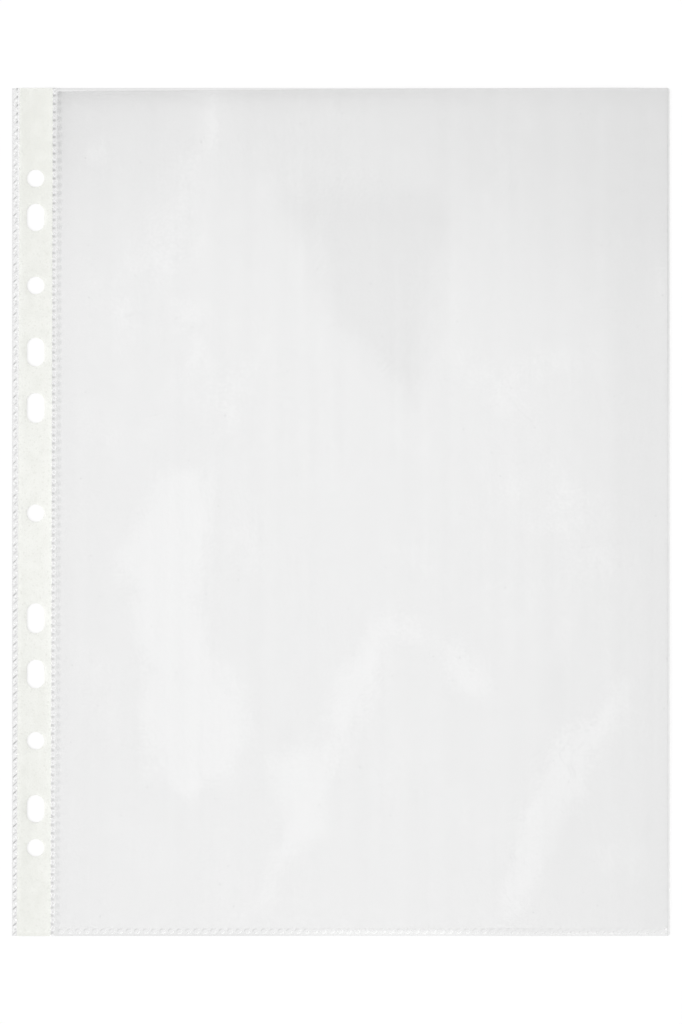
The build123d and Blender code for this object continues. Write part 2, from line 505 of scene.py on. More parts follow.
def air(x, y):
    """Height of the air between the two films."""
    from_weld = ease((x - pocket_left(y)) / AIR_EDGE_REACH)
    closed = from_weld * ease((y - POCKET_Y) / AIR_EDGE_REACH)
    across = wave(x, AIR_WAVE_ACROSS, 1.4 * wave(y, AIR_WAVE_BEND, 0.8))
    swell = 0.5 + 0.3 * across + 0.2 * wave(y - 0.3 * x, AIR_WAVE_UP, 1.0)
    ripple = AIR_RIPPLE * swell * (1.0 + APART_SWELL * standing_apart(x, y))
    inner = closed * (AIR_GAP + ripple * (1.0 - CLING_PULL * clinging(x, y)))
    mouth = MOUTH_LIFT * (0.6 + 0.4 * wave(x, MOUTH_WAVE_LENGTH, 2.2)) * np.exp((y - MOUTH_Y) / MOUTH_REACH)
    beside_fold = soft(LOOP_X - x, LOOP_REACH)
    loop = 2.0 * loop_half_height(y) - FILM
    return (inner + mouth * from_weld) * (1.0 - beside_fold) + loop * beside_fold


def front_mouth_y(x):
    """The front film's cut edge, which runs a little askew below the back film's."""
    share = np.clip((MOUTH_LIP_END_X - x) / (MOUTH_LIP_END_X - POCKET_X), 0.0, 1.0)
    return MOUTH_Y - MOUTH_LIP * share - LIP_WAVE * wave(x, LIP_WAVE_LENGTH) * share


# Wheel marks of the welds, below 0 where painted shade darkens the film as the knurl bends light away,
# and above 0 where it is clouded white, with painted glints among the white marks

def spine_marks(x, y):
    """Two knurl strokes of painted shade to each turn of the wheel, leaning to the right, with white spots
    and spots of painted shade between them, and a painted highlight along the strip's edge.

    Down the page the strokes are longer and darker. Up the page others cross them, and at the mouth they
    end in spots of painted shade.
    """
    from_strip = strip_left(y) - x
    across = x - (SPINE_X + strip_left(y)) / 2
    lower, upper, top = rising(y, *SPINE_LOWER_Y), rising(y, *SPINE_UPPER_Y), rising(y, *SPINE_TOP_Y)
    # Painted highlight along the strip's left edge
    light = [SPINE_FRINGE * upper * soft(from_strip, SPINE_FRINGE_REACH)]
    dark = []
    for up, middle, strength in SPINE_STROKES:
        turn, off = nearest(y - SPINE_SLANT * across, 2 * SPINE_PITCH, SPINE_PHASE + up)
        stroke = strength * varied(turn + up, *SPINE_STROKE_VARIES)
        stroke *= 1.0 + SPINE_LOWER_GAIN * lower - SPINE_TOP_LOSS * top
        stroke *= soft(off, SPINE_STROKE_WIDTH)
        length = SPINE_STROKE_LENGTH + SPINE_STROKE_GROWTH * lower
        dark.append(stroke * soft(across - middle * (1.0 - lower), length))
        end = soft(off, SPINE_END_HEIGHT) * soft(across - SPINE_END_X, SPINE_END_WIDTH)
        dark.append(SPINE_END_STRENGTH * top * end)
    for place, down, half_width, half_height, strength in SPINE_SPOTS:
        turn, off = nearest(y, 2 * SPINE_PITCH, SPINE_PHASE + SPINE_SLANT * SPINE_STROKE_X - down)
        spot = abs(strength) * soft(off, half_height) * soft(across - place, half_width)
        spot *= varied(turn + down, *SPINE_SPOT_VARIES)
        if strength > 0.0:
            light.append(spot)
        else:
            dark.append(spot)
    turn, off = nearest(y + SPINE_CROSS_SLANT * across, SPINE_PITCH, SPINE_CROSS_PHASE)
    dark.append(varied(turn + 57, *SPINE_CROSS_VARIES) * upper * soft(off, SPINE_CROSS_WIDTH))
    hatch = SPINE_HATCH * wave(y - across, SPINE_HATCH_LENGTH, 2.0 * wave(y, SPINE_HATCH_BEND))
    white = np.maximum.reduce(light)
    # Painted shade of the dark strokes and spots, lighter under the white marks
    pressed = np.maximum.reduce(dark) * (1.0 - WHITE_OVER_DARK * np.minimum(white, 1.0))
    inside = rising(x - SPINE_X, *SPINE_PLAIN_EDGE) * rising(from_strip, *STRIP_PLAIN_EDGE)
    return (white - pressed + hatch) * inside


def inner_marks(x, y):
    """Spots of painted shadow beside the strip, pale rings between them, and a painted glint low in each
    ring.

    The spots stand for the strip's shadow seen through the clear film between the rings. Down the page
    the rings are paler, and at the mouth the painted shadow spots are darker.
    """
    across = x - strip_right(y)
    lower, top = rising(y, *INNER_LOWER_Y), rising(y, *INNER_TOP_Y)
    count, off = nearest(y, KNURL_PITCH, INNER_PHASE)
    reach = np.hypot(off / INNER_DOT_Y, (across - INNER_ROW) / INNER_DOT_X)
    ring = varied(count, *INNER_RING_VARIES) + INNER_RING_GAIN * lower
    ring *= soft(reach - RING_MIDDLE, RING_WIDTH)
    ring *= 1.0 - INNER_RING_LOSS * top * rising(across, *INNER_RING_RIGHT)
    # Painted shade in each ring's hollow middle, fading down the page
    hollow = INNER_HOLLOW * (1.0 - lower) * soft(reach, INNER_HOLLOW_REACH)
    # Painted glints: one low in each ring, and a line of them beside the strip
    glint = INNER_GLINT + INNER_GLINT_GAIN * lower
    glint *= soft(off + INNER_GLINT_DOWN, INNER_GLINT_REACH)
    glint *= soft(across - INNER_GLINT_X, INNER_GLINT_REACH)
    beside_strip = INNER_SIDE_GLINT + INNER_SIDE_GLINT_GAIN * lower
    beside_strip *= soft(across, INNER_SIDE_GLINT_REACH)
    # Painted shadow of the strip, seen through the clear film between the rings, darkest at the mouth
    _, off = nearest(y, KNURL_PITCH, INNER_PHASE + KNURL_PITCH / 2)
    strip_shadow = soft(off, INNER_SHADOW_REACH_Y) * soft(across - np.clip(across, *INNER_SHADOW_X), INNER_SHADOW_REACH_X)
    pressed = INNER_SHADOW - INNER_SHADOW_LOSS * lower + INNER_SHADOW_GAIN * top
    return np.maximum.reduce([ring, glint, beside_strip]) * (1.0 - strip_shadow) - pressed * strip_shadow - hollow


def foot_marks(x, y):
    """Round dents with painted shade on the upper wall and a painted highlight on the lower wall.

    They are washed out along the right half, and a painted glint lies at the corner by the fold.
    """
    count, off = nearest(x, FOOT_PITCH, FOOT_PHASE)
    up = y - FOOT_Y - FOOT_ROW
    right_share, up_share = off / FOOT_DOT_X, up / FOOT_DOT_Y
    reach = np.hypot(right_share, up_share)
    # Painted shade and highlight on each dent's wall, as lit from the upper left
    bright_x, bright_y = FOOT_BRIGHT_SIDE
    facing = (bright_x * right_share + bright_y * up_share) / np.maximum(reach, 0.05)
    wall = varied(count, *FOOT_WALL_VARIES) * facing * soft(reach - RING_MIDDLE, RING_WIDTH)
    wall = np.where(wall > 0.0, wall, FOOT_SHADED_WALL * wall)
    middle = rising(x, *FOOT_MIDDLE_X) * rising(x, *FOOT_MIDDLE_END_X)
    right = rising(x, *FOOT_RIGHT_X)
    washed_middle = FOOT_WASH * middle * soft(up + FOOT_WASH_DOWN, FOOT_WASH_REACH)
    washed_right = varied(count + 11, *FOOT_RIGHT_WASH_VARIES) * right
    washed_right *= soft(up + FOOT_RIGHT_WASH_DOWN, FOOT_RIGHT_WASH_REACH)
    # Painted glint at the corner by the fold
    corner_glint = soft(x - CORNER_GLINT_X, CORNER_GLINT_WIDTH) * soft(y - POCKET_Y, CORNER_GLINT_HEIGHT)
    return wall * (1.0 - FOOT_WALL_RIGHT_LOSS * right) + washed_middle + washed_right + corner_glint


# Meshes

def grid(xs, ys):
    """Points and four-sided faces of a flat net, seen from above."""
    x, y = (values.ravel() for values in np.meshgrid(xs, ys))
    row = len(xs)
    starts = (np.arange(len(ys) - 1)[:, None] * row + np.arange(row - 1)[None, :]).ravel()
    faces = np.stack([starts, starts + 1, starts + row + 1, starts + row], axis=1)
    return x, y, faces.tolist()


def rim_edges(faces):
    """Directed edges that only one face has."""
    edges = {(face[i - 1], face[i]) for face in faces for i in range(len(face))}
    return [(a, b) for a, b in edges if (b, a) not in edges]


def shell(name, faces, outer, inner, page, **marks):
    """A closed thin piece between two matching nets, which keeps its flat place on the page."""
    count = len(outer)
    walls = [(b, a, a + count, b + count) for a, b in sorted(rim_edges(faces))]
    backs = [[i + count for i in reversed(face)] for face in faces]
    mesh = bpy.data.meshes.new(name)
    mesh.from_pydata((np.concatenate([outer, inner]) * MM).tolist(), [], [*faces, *backs, *walls])
    mesh.shade_smooth()
    mesh.set_sharp_from_angle(angle=math.radians(SHARP_ANGLE))
    place = mesh.attributes.new("page", "FLOAT_VECTOR", "POINT")
    flat = np.column_stack([page, np.zeros(count)])
    place.data.foreach_set("vector", np.concatenate([flat, flat]).astype(np.float32).ravel())
    for mark, values in marks.items():
        attribute = mesh.attributes.new(mark, "FLOAT", "POINT")
        attribute.data.foreach_set("value", np.concatenate([values, values]).astype(np.float32))
    made = bpy.data.objects.new(name, mesh)
    bpy.context.scene.collection.objects.link(made)
    return made


def sheet(name, x, y, faces, low, high, **marks):
    """A shell whose two nets lie straight above each other."""
    outer, inner = np.column_stack([x, y, high]), np.column_stack([x, y, low])
    return shell(name, faces, outer, inner, np.column_stack([x, y]), **marks)


# Punched margin

def punched_holes():
    """Centre, radius and straight half length of every hole, from the record's mounts."""
    holes = []
    for mount in frame["record"]["mounts"]:
        x, y, _ = (value / MM for value in mount["pos_m"])
        dims = mount["dims"]
        if mount["kind"] == "bore":
            holes.append((x, y, dims["r_mm"], 0.0))
        elif "slot_length_mm" in dims:
            straight = dims["slot_length_mm"] / 2 - dims["hole_r_mm"]
            for side in (-1, 1):
                holes.append((x, y + side * dims["spacing_y_mm"] / 2, dims["hole_r_mm"], straight))
    return holes


HOLES = punched_holes()


def beyond_hole(x, y, hole):
    """Distance outside a hole's edge, below 0 inside it."""
    centre_x, centre_y, radius, straight = hole
    past_end = np.maximum(np.abs(y - centre_y) - straight, 0.0)
    return np.hypot(x - centre_x, past_end) - radius


def beyond_holes(x, y):
    return np.min([beyond_hole(x, y, hole) for hole in HOLES], axis=0)


def hole_ring(hole, distance):
    """Points round a hole, at a distance outside its edge."""
    centre_x, centre_y, radius, straight = hole
    points = []
    for i in range(PUNCH_SIDES):
        turn = 2 * math.pi * (i + 0.5) / PUNCH_SIDES
        end = math.copysign(straight, math.sin(turn))
        reach = radius + distance
        points.append((centre_x + reach * math.cos(turn), centre_y + end + reach * math.sin(turn)))
    return points


def punched_net(extra_points=()):
    """Points and triangles of the margin's strip with its holes left out."""
    xs, ys = spaced(STRIP_X, STRIP_END_X, STRIP_STEP), spaced(FOOT_Y, MOUTH_Y, STRIP_STEP)
    points = [(x, FOOT_Y) for x in xs] + [(STRIP_END_X, y) for y in ys[1:]]
    points += [(x, MOUTH_Y) for x in xs[-2::-1]] + [(STRIP_X, y) for y in ys[-2:0:-1]]
    edges = [(i, (i + 1) % len(points)) for i in range(len(points))]
    for hole in HOLES:
        first = len(points)
        points += hole_ring(hole, 0.0)
        edges += [(first + i, first + (i + 1) % PUNCH_SIDES) for i in range(PUNCH_SIDES)]
        for distance in PUNCH_RINGS:
            points += hole_ring(hole, distance)
    inner_x, inner_y = (values.ravel() for values in np.meshgrid(xs[1:-1], ys[1:-1]))
    clear = beyond_holes(inner_x, inner_y) > PUNCH_RINGS[-1] + STRIP_STEP / 3
    points += list(zip(inner_x[clear], inner_y[clear])) + list(extra_points)
    made = delaunay_2d_cdt([Vector(p) for p in points], edges, [], 1, 1e-4)
    flat = np.array([tuple(p) for p in made[0]])
    middles = np.array([flat[face].mean(axis=0) for face in made[2]])
    kept = beyond_holes(middles[:, 0], middles[:, 1]) > -1e-3
    faces = [face for face, keep in zip(made[2], kept) if keep]
    x, y = flat[:, 0], flat[:, 1]
    return lean_strip(x, y), y, faces


def punch_draw(x, y):
    return -PUNCH_DRAW * np.exp(-np.maximum(beyond_holes(x, y), 0.0) / PUNCH_REACH)


def margin_layer(name, net, above, thickness, **looks):
    """One punched layer of the margin, at a height above the page's back."""
    x, y, faces = net
    low = underside(x, y) + above + punch_draw(x, y)
    return sheet(name, x, y, faces, low, low + thickness, **looks)


def foot_dashes(x, y):
    """The foot weld's wheel marks that show faintly over the strip."""
    _, along = nearest(x - STRIP_X, FOOT_PITCH, DASH_PHASE)
    across = (y - FOOT_Y - FOOT_ROW) / DASH_HEIGHT
    return np.exp(-((along / DASH_LENGTH) ** 4 + across**2))


def strip_glow(x, y):
    """Where the strip is paler: half way up, on its left side and in the foot wheel's dashes, with painted
    highlights along its long edges.

    At its two ends it is duller.
    """
    from_left, from_right = x - strip_left(y), strip_right(y) - x
    share = from_left / (strip_right(y) - strip_left(y))
    half_way = GLOW_MIDDLE_LEFT + (GLOW_MIDDLE_RIGHT - GLOW_MIDDLE_LEFT) * share
    half_way *= soft(y - GLOW_MIDDLE_Y, GLOW_MIDDLE_REACH)
    # Painted highlights along the strip's two long edges
    right_edge = GLOW_RIGHT_EDGE * soft(from_right, GLOW_RIGHT_REACH)
    left_edge = GLOW_LEFT_EDGE * soft(from_left, GLOW_LEFT_REACH)
    left_side = GLOW_SIDE * soft(from_left, GLOW_SIDE_WIDTH)
    left_side *= soft(y - GLOW_SIDE_Y, GLOW_SIDE_REACH)
    dashes = GLOW_DASHES * foot_dashes(x, y)
    duller = GLOW_TOP_LOSS * rising(y, *STRIP_TOP_Y) + GLOW_FOOT_LOSS * soft(y - FOOT_Y, GLOW_FOOT_REACH)
    return half_way + right_edge + left_edge + left_side + dashes - duller


def build_margin():
    """The strip, with a finer net at the foot wheel's dashes, and the films under and over it."""
    plain = punched_net()
    dash_row = FOOT_Y + FOOT_ROW
    fine_x, fine_y = np.meshgrid(
        spaced(STRIP_X + DASH_NET_MARGIN, STRIP_END_X - DASH_NET_MARGIN, DASH_STEP_X),
        spaced(dash_row - DASH_NET_HALF, dash_row + DASH_NET_HALF, DASH_STEP_Y),
    )
    fine = punched_net(list(zip(fine_x.ravel(), fine_y.ravel())))
    glow = strip_glow(fine[0], fine[1])
    strip = margin_layer("strip_sheet", fine, FILM + LAYER_AIR, STRIP, glow=glow)
    under = margin_layer("margin_film_under", plain, 0.0, FILM)
    over = margin_layer("margin_film_over", plain, FILM + STRIP + 2 * LAYER_AIR, FILM)
    return strip, under, over


# Welds

def cut_edge(distance, reach):
    """Painted shade along a cut edge of the film, at a distance from it."""
    return EDGE_SHADE * soft(distance, reach)


def welded(name, x, y, faces, thickness, marks, shade=0.0):
    """A stretch of film melted together, dented and clouded by its wheel marks.

    Where the marks fall below 0 they darken it with painted shade.
    """
    low = underside(x, y)
    high = low + thickness + MARK_RELIEF * np.clip(marks, -1.0, 1.0)
    # Painted shade where the marks fall below 0, on top of the shade given
    dark = MARK_SHADE * np.clip(-marks, 0.0, MARK_DARKEST) + shade
    return sheet(name, x, y, faces, low, high, press=np.clip(marks, 0.0, 1.0), shade=dark)


def build_spine_seam():
    flat_x, y, faces = grid(spaced(SPINE_X, STRIP_X, WELD_STEP), spaced(FOOT_Y, MOUTH_Y, WELD_STEP))
    x = SPINE_X + (flat_x - SPINE_X) * (strip_left(y) - SPINE_X) / (STRIP_X - SPINE_X)
    thin_edge = THIN_EDGE + (1.0 - THIN_EDGE) * ease((x - SPINE_X) / THIN_EDGE_WIDTH)
    rise = ease((x - strip_left(y) + STEP_RUN) / STEP_RUN)
    thickness = WEB * thin_edge + (MARGIN_STACK - WEB) * rise
    # Painted shade along the spine's cut edge
    shade = cut_edge(x - SPINE_X, SPINE_EDGE_REACH)
    return welded("spine_seam", x, y, faces, thickness, spine_marks(x, y), shade)


def weld_side_shade(y):
    """Painted shade along the inner weld, deepest at the mouth."""
    return WELD_SIDE_SHADE + WELD_SIDE_TOP_SHADE * rising(y, *FILM_TOP_Y)


def build_inner_seam():
    across, y, faces = grid(spaced(0.0, INNER_SEAM_WIDTH, WELD_STEP), spaced(FOOT_Y, MOUTH_Y, WELD_STEP))
    x = strip_right(y) + across
    thickness = WEB + (MARGIN_STACK - WEB) * (1.0 - ease(across / INNER_SEAM_WIDTH))
    marks = inner_marks(x, y) * ease((INNER_SEAM_WIDTH - across) / INNER_FADE)
    # Painted shade on the weld itself, deepest at the mouth
    shade = weld_side_shade(y) * ease(across / INNER_SEAM_WIDTH)
    return welded("inner_seam", x, y, faces, thickness, marks, shade)


def build_foot_seam():
    flat_x, y, faces = grid(spaced(POCKET_X, LOOP_X, WELD_STEP), spaced(FOOT_Y, POCKET_Y, WELD_STEP))
    x = lean_pocket(flat_x, y)
    marks = foot_marks(x, y) * ease((POCKET_Y - y) / FOOT_FADE)
    # Painted shade along the foot's cut edge, on the left half
    lower_line = cut_edge(y - FOOT_Y, FOOT_EDGE_REACH) * rising(x, *FOOT_LEFT_X)
    right = FOOT_RIGHT_SHADE * rising(x, *FOOT_RIGHT_X)
    return welded("foot_seam", x, y, faces, WEB, marks, lower_line + right)


# Films

def front_shade(x, y):
    """Painted shade on the front film: more near its edges, beside the inner weld, towards the fold and the
    mouth, and where it stands apart, with a painted shadow below its cut edge.
    """
    from_weld, from_fold = x - pocket_left(y), LOOP_X - x
    # Painted shade beside the inner weld, deepest at the mouth
    spine_side = weld_side_shade(y) * np.exp(-from_weld / WELD_SIDE_REACH)
    spine_side += SPINE_SIDE_SHADE * np.exp(-from_weld / SPINE_SIDE_REACH)
    # Painted shade towards the fold, and in a line along it
    fold_side = FOLD_SIDE_SHADE * (1.0 - FOLD_SIDE_TOP_LOSS * rising(y, *FILM_TOP_Y))
    fold_side *= np.exp(-from_fold / FOLD_SIDE_REACH)
    fold_line = FOLD_LINE_SHADE * np.exp(-from_fold / FOLD_LINE_REACH)
    # Painted shade towards the mouth, lighter along a streak
    reach = MOUTH_SHADE_REACH + MOUTH_RIGHT_REACH * rising(x, *MOUTH_REACH_X)
    mouth_side = MOUTH_SHADE + MOUTH_RIGHT_SHADE * rising(x, *MOUTH_RIGHT_X)
    mouth_side *= soft(MOUTH_Y - y, reach)
    streak = 1.0 - STREAK_GAIN * soft(x - STREAK_X, STREAK_WIDTH)
    # Painted shadow below the front film's cut edge
    below_lip = front_mouth_y(x) - y
    left = rising(x, *LIP_LEFT_X)
    lip = (LIP_SHADE + LIP_LEFT_SHADE * left) * soft(below_lip, LIP_SHADE_REACH)
    lip_line = LIP_LINE_SHADE * left * soft(below_lip, LIP_LINE_REACH)
    # Painted shade where the films stand apart, less up the page
    apart = APART_SHADE * standing_apart(x, y) * (1.0 - APART_TOP_SHADE_LOSS * rising(y, *APART_TOP_Y))
    return spine_side + fold_side + fold_line + mouth_side * streak + lip + lip_line + apart


def back_shade(x, y):
    """Share of light that the back film takes where it shows above the front film."""
    above = y - front_mouth_y(x)
    band = BACK_BAND_SHADE - BACK_BAND_LOSS * soft(above, BACK_BAND_REACH)
    return band * rising(above, *BACK_BAND_EDGE)


def film_stations(start, end):
    """Evenly spaced stations, with closer ones next to both ends."""
    close = np.array(CLOSE_STATIONS)
    middle = spaced(start + CLOSE_END, end - CLOSE_END, FILM_STEP)
    return np.concatenate([[start], start + close, middle, end - close[::-1], [end]])


def build_back_sheet():
    flat_x, y, faces = grid(film_stations(POCKET_X, LOOP_X), film_stations(POCKET_Y, MOUTH_Y))
    x = lean_pocket(flat_x, y)
    low = underside(x, y)
    return sheet("back_sheet", x, y, faces, low, low + FILM, shade=back_shade(x, y))


def build_front_half(name, start_x, end_x):
    flat_x, flat_y, faces = grid(film_stations(start_x, end_x), film_stations(POCKET_Y, MOUTH_Y))
    mouth = front_mouth_y(flat_x)
    y = POCKET_Y + (flat_y - POCKET_Y) * (mouth - POCKET_Y) / (MOUTH_Y - POCKET_Y)
    x = lean_pocket(flat_x, y)
    low = underside(x, y) + FILM + air(x, y)
    looks = {
        "cling": clinging(x, y),
        "apart": standing_apart(x, y) * (1.0 - APART_TOP_LOSS * rising(y, *APART_TOP_Y)),
        "shade": front_shade(x, y),
    }
    return sheet(name, x, y, faces, low, low + FILM, **looks)


def corner_inset(y):
    """How far the rounded corners pull the fold in at a height on the page."""
    from_end = np.minimum(y - FOOT_Y, MOUTH_Y - y)
    inside = np.clip(CORNER_RADIUS - from_end, 0.0, CORNER_RADIUS)
    return CORNER_RADIUS - np.sqrt(CORNER_RADIUS**2 - inside**2)


def build_fold_loop():
    ends = CORNER_RADIUS * (1 - np.cos(np.linspace(0, math.pi / 2, 9)))
    ys = np.concatenate([
        FOOT_Y + ends[:-1],
        spaced(FOOT_Y + CORNER_RADIUS, MOUTH_Y - CORNER_RADIUS, FOLD_STEP),
        MOUTH_Y - ends[-2::-1],
    ])
    turn, y, faces = grid(np.linspace(0, math.pi, LOOP_STEPS), ys)
    half_height = loop_half_height(y)
    centre = underside(np.full_like(y, LOOP_X), y) + FILM / 2 + half_height
    width = np.maximum(LOOP_WIDTH - FILM / 2 - corner_inset(y), LOOP_PINCH)

    def net(offset):
        x = LOOP_X + (width + offset) * np.sin(turn)
        z = centre - (half_height + offset) * np.cos(turn)
        return np.column_stack([x, y, z])

    page = np.column_stack([LOOP_X + width * turn / math.pi, y])
    # Painted shade for the dark line along the fold: on the loop's top and bottom, none at its outer edge,
    # deeper up the page
    shade = FOLD_LOOP_SHADE + FOLD_LOOP_UPPER_SHADE * rising(y, *FOLD_UPPER_Y)
    shade *= np.abs(np.cos(turn)) ** 3
    return shell("fold_loop", faces, net(FILM / 2), net(-FILM / 2), page, shade=shade)


# Materials

FILM_IOR = 1.49
FRONT_CLEAR = 0.9655
WELD_CLEAR = 0.92
PRESSED_CLEAR = 0.08
TOUCHING_GAIN = 0.010
PRESSED_GAIN = 0.022
APART_LOSS = 0.010
NOISE_LOW = 0.3
NOISE_HIGH = 0.7
FILM_MILK = (0.80, 0.81, 0.81, 1.0)
FILM_MILK_ROUGHNESS = 0.6
MARGIN_CLEAR = (0.99, 0.993, 0.987, 1.0)
MARGIN_MILK = (0.96, 0.965, 0.95, 1.0)
MARGIN_MILK_ROUGHNESS = 0.5
WELD_MILK = (0.96, 0.965, 0.96, 1.0)
WELD_MILK_ROUGHNESS = 0.35
STRIP_DULL = (0.846, 0.848, 0.814, 1.0)
STRIP_PALE = (0.945, 0.945, 0.920, 1.0)
STRIP_GLOSS = 0.2
MOTTLE_HEIGHT = 2.0
GLOW_STRENGTH = 0.35
BUMP_HEIGHT = 0.0002
WELD_BUMP_HEIGHT = 0.0001
FILM_BUMP = 0.05
PRESSED_BUMP = 0.1
# Noises: length across and up the page, detail and, where it isn't the usual, roughness
FILM_CLOUD = (24.0, 34.0, 5.0, 0.65)
FRONT_GRAIN = (1.0, 1.0, 1.0)
BACK_GRAIN = (1.1, 1.1, 1.0)
FILM_STREAKS = (7.0, 240.0, 2.0)
FILM_WAVES = (1.6, 6.0, 1.0)
SCRATCH_LINES = (34.0, 52.0, 2.0)
SCRATCH_PLACES = (26.0, 26.0, 1.0)
MARGIN_GRAIN = (0.7, 0.7, 2.0)
MARGIN_CLOUD = (6.0, 18.0, 3.0)
WELD_CLOUD = (0.9, 0.9, 2.0)
STRIP_MOTTLE = (5.0, 7.0, 5.0, 0.6)
STRIP_GRAIN = (0.5, 0.5, 2.0)
# Where a patch of the front film starts and is full, with edges that cloud and grain make ragged
CLOUD_RAGGED = (0.25, 0.75, -0.5, 0.5)
GRAIN_RAGGED = (0.2, 0.8, -0.5, 0.5)
APART_RAGGED = 0.6
TOUCHING_EDGE = (0.2, 0.32)
PRESSED_EDGE = (0.50, 0.62)
APART_EDGE = (0.45, 0.57)
SCRATCH_EDGE = (0.0006, 0.0022)
SCRATCH_SHOWN = (0.62, 0.72)
SCRATCH_DEPTH = 0.03
# Specks: spacing, size and depth of shade
SMALL_DUST = (27.0, 0.26, 0.16)
LARGE_DUST = (71.0, 0.36, 0.12)
STRIP_SPECKS = (2.2, 0.38, 0.7)
SPECK_CORE = 0.6
# What a noise, or the press of a weld, is spread over
PRESS_HAZE = (0.05, 0.8, 0.03, 0.7)
PRESS_CLEARING = (0.2, 0.9)
STREAK_HAZE = (0.016, 0.026)
GRAIN_HAZE = (0.0, 0.014)
MARGIN_HAZE = (0.02, 0.05)
WELD_HAZE = (-0.03, 0.03)
FILM_ROUGHNESS = (0.06, 0.14)
MARGIN_ROUGHNESS = (0.08, 0.18)
WELD_ROUGHNESS = (0.08, 0.2)
STRIP_ROUGHNESS = (0.42, 0.58)
MOTTLE_GLOW = (0.0, 0.45)
GRAIN_GLOW = (0.0, 0.4)


def add(tree, kind, sockets=None, **options):
    """A node with its options set, and its sockets set or linked."""
    made = tree.nodes.new(kind)
    for name, value in options.items():
        setattr(made, name, value)
    for name, value in (sockets or {}).items():
        if isinstance(value, bpy.types.NodeSocket):
            tree.links.new(value, made.inputs[name])
        else:
            made.inputs[name].default_value = value
    return made


def math_node(tree, operation, first, second, clamp=False):
    sockets = {0: first, 1: second}
    return add(tree, "ShaderNodeMath", sockets, operation=operation, use_clamp=clamp).outputs[0]


def total(tree, *values):
    """The sum of several values."""
    added = values[0]
    for value in values[1:]:
        added = math_node(tree, "ADD", added, value)
    return added


def new_tree(name):
    material = bpy.data.materials.new(name)
    material.use_nodes = True
    material.node_tree.nodes.clear()
    return material, material.node_tree


def page_place(tree, scale_x, scale_y):
    """A place on the flat page, scaled to the repeat of a texture."""
    place = add(tree, "ShaderNodeAttribute", attribute_name="page").outputs["Vector"]
    scaled = add(tree, "ShaderNodeMapping", {"Vector": place, "Scale": (scale_x, scale_y, 1.0)})
    return scaled.outputs["Vector"]


def page_noise(tree, length_x, length_y, detail=3.0, roughness=0.55):
    place = page_place(tree, 1.0 / length_x, 1.0 / length_y)
    sockets = {"Vector": place, "Scale": 1.0, "Detail": detail, "Roughness": roughness}
    return add(tree, "ShaderNodeTexNoise", sockets, noise_dimensions="2D").outputs["Fac"]


def mark(tree, name):
    return add(tree, "ShaderNodeAttribute", attribute_name=name).outputs["Fac"]


def spread(tree, value, low, high, to_low, to_high, smooth=False):
    kind = "SMOOTHSTEP" if smooth else "LINEAR"
    sockets = {"Value": value, "From Min": low, "From Max": high, "To Min": to_low, "To Max": to_high}
    return add(tree, "ShaderNodeMapRange", sockets, interpolation_type=kind).outputs["Result"]


def noise_spread(tree, noise, low, high):
    """Spreads the range that a noise mostly keeps to from a low to a high value."""
    return spread(tree, noise, NOISE_LOW, NOISE_HIGH, low, high)


def specks(tree, spacing, size, depth):
    """Sparse dust specks of a depth of shade."""
    place = page_place(tree, 1.0 / spacing, 1.0 / spacing)
    sockets = {"Vector": place, "Scale": 1.0, "Randomness": 1.0}
    near = add(tree, "ShaderNodeTexVoronoi", sockets, voronoi_dimensions="2D")
    return spread(tree, near.outputs["Distance"], SPECK_CORE * size / spacing, size / spacing, depth, 0.0)


def scratches(tree):
    """Hair scratches that show only here and there."""
    line = math_node(tree, "SUBTRACT", page_noise(tree, *SCRATCH_LINES), 0.5)
    hair = spread(tree, math_node(tree, "ABSOLUTE", line, 0.0), *SCRATCH_EDGE, SCRATCH_DEPTH, 0.0)
    here = spread(tree, page_noise(tree, *SCRATCH_PLACES), *SCRATCH_SHOWN, 0.0, 1.0)
    return math_node(tree, "MULTIPLY", hair, here)


def film_output(tree, body, roughness, normal):
    """Puts the film's gloss over its body on the side that faces out, and leaves the other side clear."""
    share = add(tree, "ShaderNodeFresnel", {"IOR": FILM_IOR, "Normal": normal}).outputs[0]
    gloss = add(tree, "ShaderNodeBsdfGlossy", {"Roughness": roughness, "Normal": normal}).outputs[0]
    outside = add(tree, "ShaderNodeMixShader", {0: share, 1: body, 2: gloss}).outputs[0]
    inside = add(tree, "ShaderNodeBsdfTransparent").outputs[0]
    side = add(tree, "ShaderNodeNewGeometry").outputs["Backfacing"]
    both = add(tree, "ShaderNodeMixShader", {0: side, 1: outside, 2: inside}).outputs[0]
    add(tree, "ShaderNodeOutputMaterial", {"Surface": both})


def hazy_body(tree, haze, clear, milk_colour, milk_roughness):
    """Film that lets most light through and scatters a little."""
    through = add(tree, "ShaderNodeBsdfTransparent", {"Color": clear}).outputs[0]
    milk = add(tree, "ShaderNodeBsdfPrincipled", {"Base Color": milk_colour, "Roughness": milk_roughness})
    return add(tree, "ShaderNodeMixShader", {0: haze, 1: through, 2: milk.outputs[0]}).outputs[0]


def film_haze(tree, grain):
    """Drawn streaks along the web and a fine grain."""
    streaks = noise_spread(tree, page_noise(tree, *FILM_STREAKS), *STREAK_HAZE)
    return total(tree, streaks, noise_spread(tree, grain, *GRAIN_HAZE))


def bump(tree, height, strength, distance=BUMP_HEIGHT):
    sockets = {"Height": height, "Strength": strength, "Distance": distance}
    return add(tree, "ShaderNodeBump", sockets).outputs[0]


def clear_film(tree, grain, clear):
    """The body, gloss and fine waves that the front and back film share."""
    body = hazy_body(tree, film_haze(tree, grain), clear, FILM_MILK, FILM_MILK_ROUGHNESS)
    normal = bump(tree, page_noise(tree, *FILM_WAVES), FILM_BUMP)
    film_output(tree, body, noise_spread(tree, grain, *FILM_ROUGHNESS), normal)


